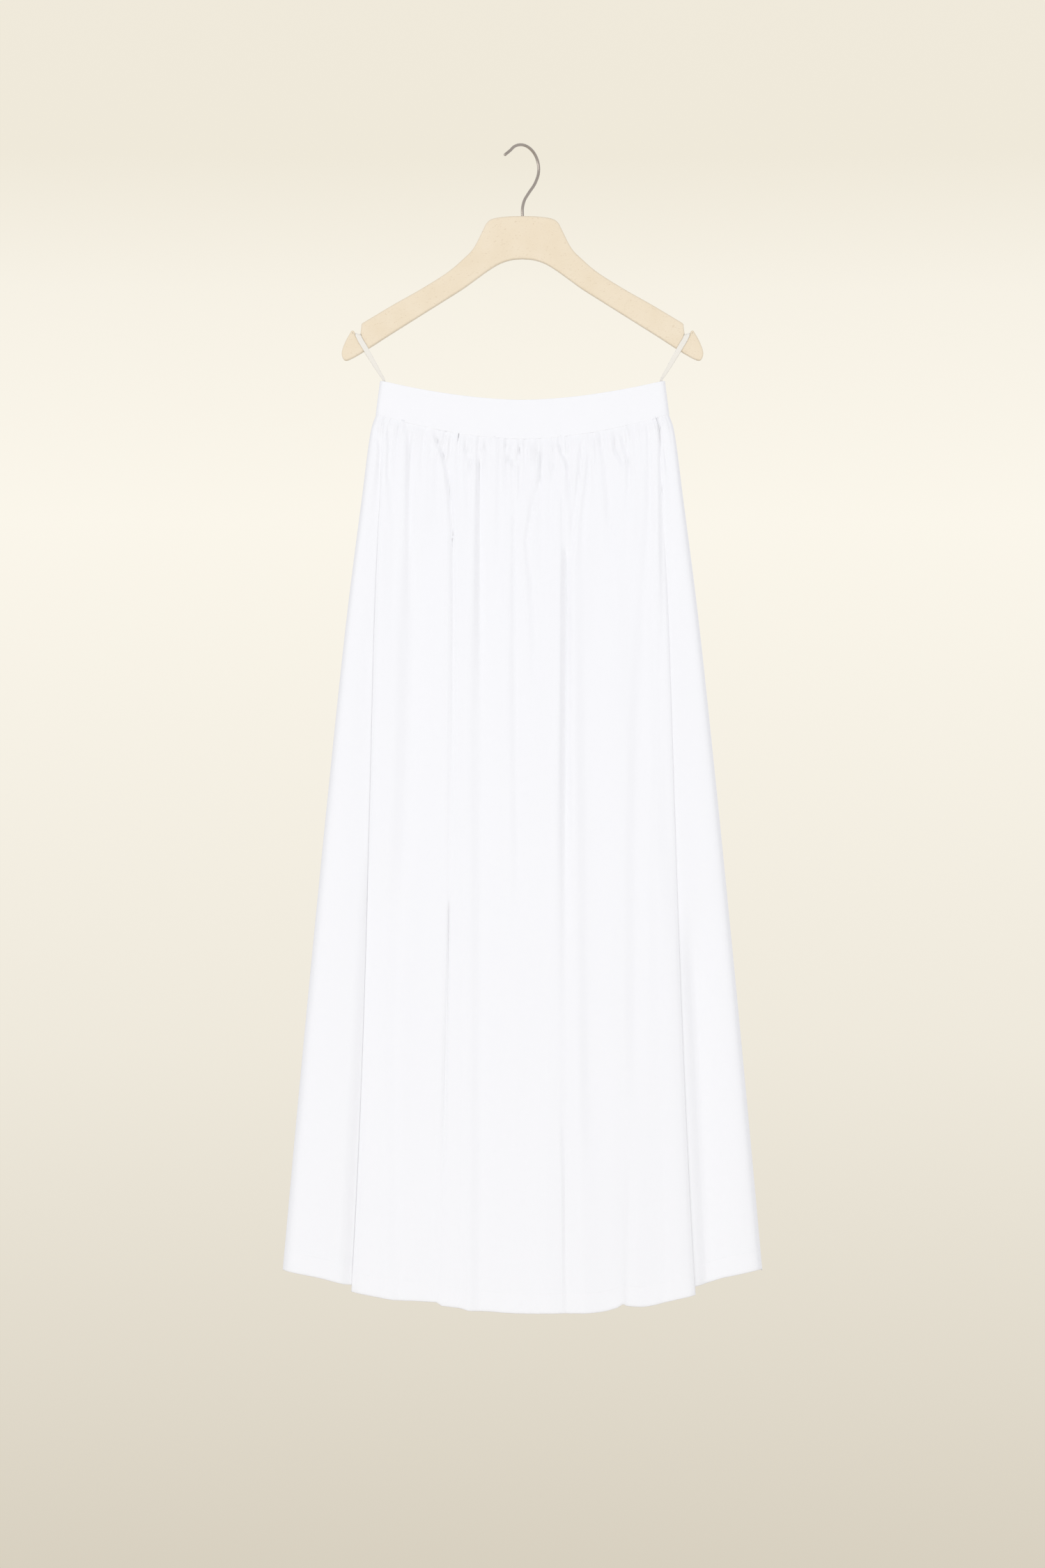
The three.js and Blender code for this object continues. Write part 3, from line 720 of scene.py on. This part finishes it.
def columnPlaces(panel):
    # closer columns where the folds are tight
    t = np.linspace(0, 1, 6000)
    at = smoothCurve(panel["points"], t)
    hemLength = np.hypot(np.diff(at[:, 0]) * sideHalves[-1], np.diff(at[:, 1]))
    waistLength = np.abs(np.diff(at[:, 2])) * band["seamHalf"]
    weight = 0.55 * hemLength / hemLength.sum() + 0.45 * waistLength / waistLength.sum()
    total = np.concatenate([[0], np.cumsum(weight)])
    knots = np.linspace(0, 1, len(panel["points"]))
    even = np.interp(np.linspace(0, 1, skirt["columns"] - len(knots)), total / total[-1], t)
    clear = np.abs(even[:, None] - knots[None, :]).min(axis=1) > 0.08 / len(knots)
    return np.union1d(even[clear], knots)


def skirtRows():
    return np.concatenate([
        np.linspace(-skirt["tuckedIn"], 60, 28),
        np.linspace(65, 165, 20),
        np.linspace(174, skirt["length"] - skirt["hemTurn"] - 6, 84),
        np.linspace(skirt["length"] - skirt["hemTurn"] - 1, skirt["length"], 9),
    ])


def makeSkirtPanel(panel):
    t = columnPlaces(panel)
    drops = skirtRows()
    outer = skirtSurface(panel, t, drops)
    # the hem is turned up inside: each row lies behind one of the outer rows
    fromSide = np.minimum(1, (1 - np.abs(smoothCurve(panel["points"], t)[:, 0])) * 40)
    turned = []
    for up, inside, lower, _ in skirt["hemInside"]:
        row = outer[-1 - up].copy()
        row[:, 1] -= panel["facing"] * fromSide * inside
        row[:, 2] -= lower
        turned.append(row)
    places = np.concatenate([outer, np.array(turned)])
    lengths = np.linalg.norm(np.diff(outer, axis=1), axis=2)
    along = np.concatenate([np.zeros((len(drops), 1)), np.cumsum(lengths, axis=1)], axis=1)
    along = along - along[:, -1:] / 2
    cutDown = np.concatenate([drops, skirt["length"] + np.array(skirt["hemInside"])[:, 3]])
    cutAcross = np.concatenate([along, np.repeat(along[-1:], len(turned), axis=0)])
    cut = np.stack([cutAcross, np.repeat(cutDown[:, None], len(t), axis=1)], axis=2) * mm
    hemStart = skirt["length"] - skirt["hemTurn"]
    doubled = np.concatenate([np.where(drops > hemStart, 1.0, 0.0), np.ones(len(turned))])
    bm = gridPiece(places * mm, cut, doubled, flip=panel["facing"] > 0)
    piece = finishPiece(panel["name"], bm, cotton, [panel["node"]])
    addWall(piece, skirt["wall"] * mm)
    return piece


frontPanel = {
    "name": "skirtFrontCloth",
    "node": "skirt_front",
    "points": foldPoints(frontFolds),
    "creases": frontCreases,
    "steps": frontSteps,
    "facing": -1,
    "seed": 0,
    "cut": (0.8, 1.04),
    "cutArea": 0.69,
}
backPanel = {
    "name": "skirtBackCloth",
    "node": "skirt_back",
    "points": foldPoints(backFolds),
    "creases": backCreases,
    "steps": backSteps,
    "facing": 1,
    "seed": 300,
    "cut": (0.76, 1.04),
    "cutArea": 0.67,
}
for panel in (frontPanel, backPanel):
    makeSkirtPanel(panel)
print("skirt panels made")


def makeBand(name, node, facing, elastic):
    share = np.linspace(-1, 1, band["columns"])[None, :]
    share = blend(np.sin(share * math.pi / 2), share, 0.75)
    down = np.linspace(0, 1, band["rows"])[:, None]
    half = blend(band["topHalf"], band["seamHalf"], down)
    top = rise(share, band["topZ"], band["topRise"], band["topBend"])
    seam = rise(share, band["seamZ"], band["seamRise"], band["seamBend"])
    middleOnly = np.clip((1 - np.abs(share)) * 10, 0, 1)
    if elastic:
        # deeper ripples between the stitched rows
        wave = band["elasticDepth"] * np.sin(math.pi * band["elasticWaves"] * share) * (1 - share**4)
        rowsOfStitch = sum(np.exp(-(((down - place) / 0.035) ** 2)) for place in band["elasticRows"])
        ripple = np.sin(math.pi * share * 74 + 2 * np.sin(share * 23)) * (1 - 0.6 * rowsOfStitch)
        relief = wave + (band["rippleDepth"] * ripple - band["rowDepth"] * rowsOfStitch) * middleOnly
    else:
        # smooth cloth, with a slight swell over the gathers and long, shallow waves
        uneven = 0.6 + 0.4 * np.sin(share * 71 + 2 * np.sin(share * 19))
        swell = band["swellDepth"] * np.exp(-(((1 - down) / 0.16) ** 2)) * uneven
        shallow = 0.35 * np.sin(share * 11 + down * 2.1) + 0.22 * np.sin(share * 26 - down * 3.4)
        relief = (swell + shallow * 0.8) * middleOnly
    out = bodyCurve(share, band["halfDepth"]) + relief + skirt["seamGap"] / 2
    x, z = share * half, blend(top, seam, down)
    places = np.stack([x, facing * out + 0 * x, z], axis=2) * mm
    cut = np.stack([x, down * band["shown"] + 0 * x], axis=2) * mm
    bm = gridPiece(places, cut, np.ones(band["rows"]), flip=facing > 0)
    piece = finishPiece(name, bm, cotton, [node])
    addWall(piece, band["wall"] * mm)
    edge = piece.modifiers.new("edge", "BEVEL")
    edge.width = 0.4 * mm
    edge.segments = 3
    edge.limit_method = "ANGLE"
    edge.angle_limit = math.radians(60)
    return piece


makeBand("bandFront", "waistband_front", -1, elastic=False)
makeBand("bandBack", "waistband_back", 1, elastic=True)
print("waistband made")


hanger = {
    "thick": 12,
    "edge": 2.2,
    "notch": [(187, -207.4), (188.3, -219.3), (193.5, -219.3), (195.8, -215.4), (197.2, -214.4)],
}
# the right half's outline as x and z: the top edge, then past the notch the tip and the lower edge
hangerTop = [
    (0, -81.6), (18, -82.2), (34, -84.6), (41.5, -89.5), (46.5, -99), (57, -119), (69.5, -132), (88, -147.5),
    (119, -167), (150, -184.5), (186, -206),
]
hangerEnd = [
    (198.8, -215), (206, -228), (210, -240.5), (207, -248.5), (199, -247), (181, -236.5), (156, -220.4),
    (132, -205.3), (110, -191.5), (89, -178.3), (70, -166.3), (54, -154.8), (40, -144.7), (27, -136.8),
    (13.5, -132.2), (0, -130.9),
]


def makeHanger():
    top = smoothCurve(hangerTop, np.linspace(0, 1, 90))
    end = smoothCurve(hangerEnd, np.linspace(0, 1, 110))
    right = np.concatenate([top, np.array(hanger["notch"], float), end])
    left = right[1:-1][::-1] * (-1, 1)
    outline = np.concatenate([right, left])
    curve = bpy.data.curves.new("hangerOutline", "CURVE")
    curve.dimensions = "2D"
    curve.fill_mode = "BOTH"
    curve.extrude = (hanger["thick"] / 2 - hanger["edge"]) * mm
    curve.bevel_depth = hanger["edge"] * mm
    curve.bevel_resolution = 5
    curve.offset = -hanger["edge"] * mm
    edge = curve.splines.new("POLY")
    edge.points.add(len(outline) - 1)
    for point, (x, z) in zip(edge.points, outline):
        point.co = (x * mm, z * mm, 0, 1)
    edge.use_cyclic_u = True
    shape = bpy.data.objects.new("hangerOutline", curve)
    bpy.context.scene.collection.objects.link(shape)
    bpy.context.view_layer.update()
    solid = bpy.data.meshes.new_from_object(shape.evaluated_get(bpy.context.evaluated_depsgraph_get()))
    bpy.data.objects.remove(shape)
    bm = bmesh.new()
    bm.from_mesh(solid)
    bmesh.ops.remove_doubles(bm, verts=bm.verts, dist=0.01 * mm)
    bmesh.ops.transform(bm, matrix=Matrix.Rotation(math.radians(90), 4, "X"), verts=bm.verts)
    bmesh.ops.recalc_face_normals(bm, faces=bm.faces)
    # the broad faces stay flat up to their rounded edges
    for face in bm.faces:
        if abs(face.normal.y) > 0.999:
            for side in face.edges:
                if any(abs(other.normal.y) < 0.999 for other in side.link_faces):
                    side.smooth = False
    return finishPiece("hangerMoulding", bm, hangerFinish, ["hanger_body"])


makeHanger()

wire = {
    "radius": 1.7,
    "loop": 25.5,
    "turn": 42,
    "tip": (-28.4, -13.7),
    "stem": [(18, -43.5), (10, -53), (3, -62.5), (0, -72), (0, -82), (0, -92), (0, -104)],
}


def hookLine():
    radius = wire["loop"]
    centre = wire["radius"] - radius
    line = [wire["tip"]]
    for degrees in np.arange(138, -31, -14):
        angle = math.radians(degrees)
        line.append((radius * math.cos(angle), centre + radius * math.sin(angle)))
    return line + wire["stem"]


def rim(ring):
    edges = [edge for vert in ring for edge in vert.link_edges if edge.other_vert(vert) in ring]
    return list(dict.fromkeys(edges))


def tube(path, radius, sides):
    # a round bar with domed ends along a path
    bm = bmesh.new()
    rings = []
    reach = len(path)
    for i, point in enumerate(path):
        ahead = path[min(i + 1, reach - 1)] - path[max(i - 1, 0)]
        turn = Vector(ahead).to_track_quat("Z", "Y").to_matrix().to_4x4()
        fromEnd = min(i, reach - 1 - i)
        size = radius * (1 if fromEnd > 3 else math.sqrt(max(0.02, 1 - ((4 - fromEnd) / 4) ** 2)))
        ring = bmesh.ops.create_circle(bm, segments=sides, radius=size)["verts"]
        bmesh.ops.transform(bm, matrix=Matrix.Translation(Vector(point)) @ turn, verts=ring)
        rings.append(ring)
    for a, b in zip(rings, rings[1:]):
        bmesh.ops.bridge_loops(bm, edges=rim(a) + rim(b))
    for ring in (rings[0], rings[-1]):
        bmesh.ops.contextual_create(bm, geom=ring)
    bmesh.ops.recalc_face_normals(bm, faces=bm.faces)
    return bm


def makeHook():
    turn = math.radians(wire["turn"])
    flat = smoothCurve(hookLine(), np.linspace(0, 1, 170))
    path = np.stack([flat[:, 0] * math.cos(turn), flat[:, 0] * math.sin(turn), flat[:, 1]], axis=1) * mm
    # the tip's dome takes four close rings
    lead = path[1] - path[0]
    lead = lead / np.linalg.norm(lead) * wire["radius"] * mm / 4
    dome = np.array([path[0] + lead * step for step in range(4)])
    bm = tube(list(np.concatenate([dome, path[3:]])), wire["radius"] * mm, 20)
    return finishPiece("hookWire", bm, steel, ["hanger_hook"])


makeHook()
print("hanger made")


# a strand runs as x, y and z from inside the band up into the hanger's notch
ribbon = {
    "wide": 6,
    "wall": 0.4,
    "strand": [
        (160.8, 0.75, -292), (161, 0.75, -273), (165.5, 2.2, -264.5), (172, 4.6, -253.5),
        (178.5, 6.8, -242.5), (183, 6.8, -234.5), (187.9, 6.8, -226.5), (190.9, 6.8, -220.2),
        (190.9, 6.4, -218.95), (190.9, 5.4, -218.7),
    ],
    "narrowing": [0.42, 0.45, 0.64, 0.85, 0.95, 1, 1, 1, 1, 0.9],
    "columns": 7,
}


def makeLoop(name, node, side):
    strand = np.array(ribbon["strand"])
    front = strand * (side, -1, 1)
    back = strand[::-1] * (side, 1, 1)
    t = np.linspace(0, 1, 240)
    path = smoothCurve(np.concatenate([front, back]), t)
    narrowing = np.array(ribbon["narrowing"] + ribbon["narrowing"][::-1])
    wide = ribbon["wide"] * np.interp(t, np.linspace(0, 1, len(narrowing)), narrowing)
    ahead = np.gradient(path, axis=0)
    ahead = ahead / np.linalg.norm(ahead, axis=1)[:, None]
    across = np.array([1.0, 0, 0]) - ahead * ahead[:, :1]
    across = across / np.linalg.norm(across, axis=1)[:, None]
    cutAcross = wide[:, None] * np.linspace(-0.5, 0.5, ribbon["columns"])[None, :]
    places = path[:, None, :] + across[:, None, :] * cutAcross[:, :, None]
    length = np.concatenate([[0], np.cumsum(np.linalg.norm(np.diff(path, axis=0), axis=1))])
    cutDown = np.repeat(length[:, None], ribbon["columns"], axis=1)
    cut = np.stack([cutAcross, cutDown], axis=2) * mm
    bm = gridPiece(places * mm, cut)
    piece = finishPiece(name, bm, ribbonFinish, [node])
    addWall(piece, ribbon["wall"] * mm)
    return piece


makeLoop("ribbonLeft", "loop_left", -1)
makeLoop("ribbonRight", "loop_right", 1)
print("ribbon loops made")


stitch = {"pitch": 2.7, "long": 1.9, "wide": 0.4, "high": 0.3, "proud": 0.12, "hemRow": 22}


def makeStitches(name, line, facing):
    bm = bmesh.new()
    size = Matrix.Diagonal((stitch["long"] * mm, stitch["high"] * mm, stitch["wide"] * mm, 1))
    lengths = np.concatenate([[0], np.cumsum(np.linalg.norm(np.diff(line, axis=0), axis=1))])

    def at(length):
        return Vector([np.interp(length, lengths, line[:, axis]) for axis in range(3)])

    for middle in np.arange(stitch["pitch"], lengths[-1] - stitch["pitch"], stitch["pitch"]):
        ahead = (at(middle + 0.7) - at(middle - 0.7)).normalized()
        side = Vector((-ahead.y, ahead.x, 0)).normalized()
        turn = Matrix((ahead, side, ahead.cross(side))).transposed().to_4x4()
        place = Matrix.Translation((at(middle) + side * facing * stitch["proud"]) * mm)
        ball = bmesh.ops.create_icosphere(bm, subdivisions=1, radius=0.5)["verts"]
        bmesh.ops.transform(bm, matrix=place @ turn @ size, verts=ball)
    return finishPiece(name, bm, thread)


def hemStitchLine(panel):
    wall = panel["facing"] * skirt["wall"] / 2
    line = skirtSurface(panel, columnPlaces(panel), np.array([skirt["length"] - stitch["hemRow"]]))[0]
    return line + (0, wall, 0)


makeStitches("hemStitchesFront", hemStitchLine(frontPanel), frontPanel["facing"])
makeStitches("hemStitchesBack", hemStitchLine(backPanel), backPanel["facing"])
print("stitches made")


# camera, light and stage
photo = {"high": 2250, "scale": 0.81 * mm, "hookTop": 210, "lens": 85, "film": 36}


def makeCamera():
    camera = bpy.data.cameras.new("camera")
    camera.lens = photo["lens"]
    camera.sensor_width = photo["film"]
    away = photo["lens"] / photo["film"] * photo["high"] * photo["scale"]
    level = (photo["hookTop"] - photo["high"] / 2) * photo["scale"]
    eye = bpy.data.objects.new("camera", camera)
    eye.location = (0, -away, level)
    eye.rotation_euler = (math.radians(90), 0, 0)
    bpy.context.scene.collection.objects.link(eye)
    bpy.context.scene.camera = eye


lamps = [
    {"name": "key", "place": (-4.4, -5.2, -0.5), "aim": (0, 0, 0.9),
     "size": 3.2, "power": 124, "mirrored": True},
    {"name": "fill", "place": (4.2, -5.3, -0.8), "aim": (0, 0, 0.9),
     "size": 3.4, "power": 96, "mirrored": False},
    {"name": "rear", "place": (1.6, 5.4, 0.6), "aim": (0, 0, -0.8),
     "size": 3.4, "power": 90, "mirrored": False},
]
skyTone = {
    "light": (0.94, 0.945, 0.975, 1),
    "lamp": (1, 0.995, 0.985),
    "strength": 0.755,
    "reach": (-0.22, 0.22),
    "stops": [
        (0, (0.67, 0.615, 0.51)),
        (0.34, (0.86, 0.815, 0.715)),
        (0.66, (0.965, 0.925, 0.83)),
        (0.8, (0.928, 0.885, 0.787)),
        (0.88, (0.865, 0.815, 0.7)),
        (1, (0.87, 0.82, 0.71)),
    ],
}


def makeLight():
    for lamp in lamps:
        light = bpy.data.lights.new(lamp["name"], "AREA")
        light.size = lamp["size"]
        light.energy = lamp["power"]
        light.color = skyTone["lamp"]
        holder = bpy.data.objects.new(lamp["name"], light)
        holder.location = lamp["place"]
        aim = Vector(lamp["aim"]) - Vector(lamp["place"])
        holder.rotation_euler = aim.to_track_quat("-Z", "Y").to_euler()
        holder.visible_camera = False
        holder.visible_glossy = lamp["mirrored"]
        bpy.context.scene.collection.objects.link(holder)


def makeSky():
    world = bpy.data.worlds.new("studio")
    bpy.context.scene.world = world
    world.use_nodes = True
    sky = Nodes(world.node_tree)
    sky.tree.nodes.remove(sky.tree.nodes["Background"])
    lit = sky.add("ShaderNodeBackground", None, {"Color": skyTone["light"], "Strength": skyTone["strength"]})
    # what shows behind is cream with painted shade: darker towards the foot and a little darker at the top
    up = sky.axes(sky.add("ShaderNodeTexCoord", output="Generated"))[2]
    low, high = skyTone["reach"]
    share = sky.add("ShaderNodeMapRange", None, {"Value": up, "From Min": low, "From Max": high})
    shadedCream = sky.add("ShaderNodeValToRGB", {"stops": skyTone["stops"]}, [share])
    seen = sky.add("ShaderNodeBackground", None, {"Color": shadedCream})
    ray = sky.add("ShaderNodeLightPath", output="Is Camera Ray")
    both = sky.add("ShaderNodeMixShader", None, [ray, lit, seen])
    sky.tree.links.new(both.socket, sky.tree.nodes["World Output"].inputs["Surface"])
    bpy.context.scene.view_settings.view_transform = "Standard"


floorLook = {
    "shader": {"Roughness": 0.9},
    "base": (0.78, 0.75, 0.68, 1),
    "worn": (0.72, 0.69, 0.62, 1),
}


def makeFloorFinish():
    look = Look("paleFloor", floorLook["shader"])
    haze = look.noise(look.objectPlace(), 3, 3.0)
    look.feed("Base Color", look.mix(haze * 0.3, floorLook["base"], floorLook["worn"]))
    return look.material


def makeFloor():
    bm = bmesh.new()
    bmesh.ops.create_circle(bm, cap_ends=True, segments=96, radius=2.4)
    bmesh.ops.translate(bm, vec=(0, 0, -2.3), verts=bm.verts)
    mesh = bpy.data.meshes.new("floor")
    bm.to_mesh(mesh)
    bm.free()
    mesh.materials.append(makeFloorFinish())
    floor = bpy.data.objects.new("floor", mesh)
    bpy.context.scene.collection.objects.link(floor)


makeCamera()
makeLight()
makeSky()
makeFloor()
print("camera, light and floor made")

bpy.context.view_layer.update()
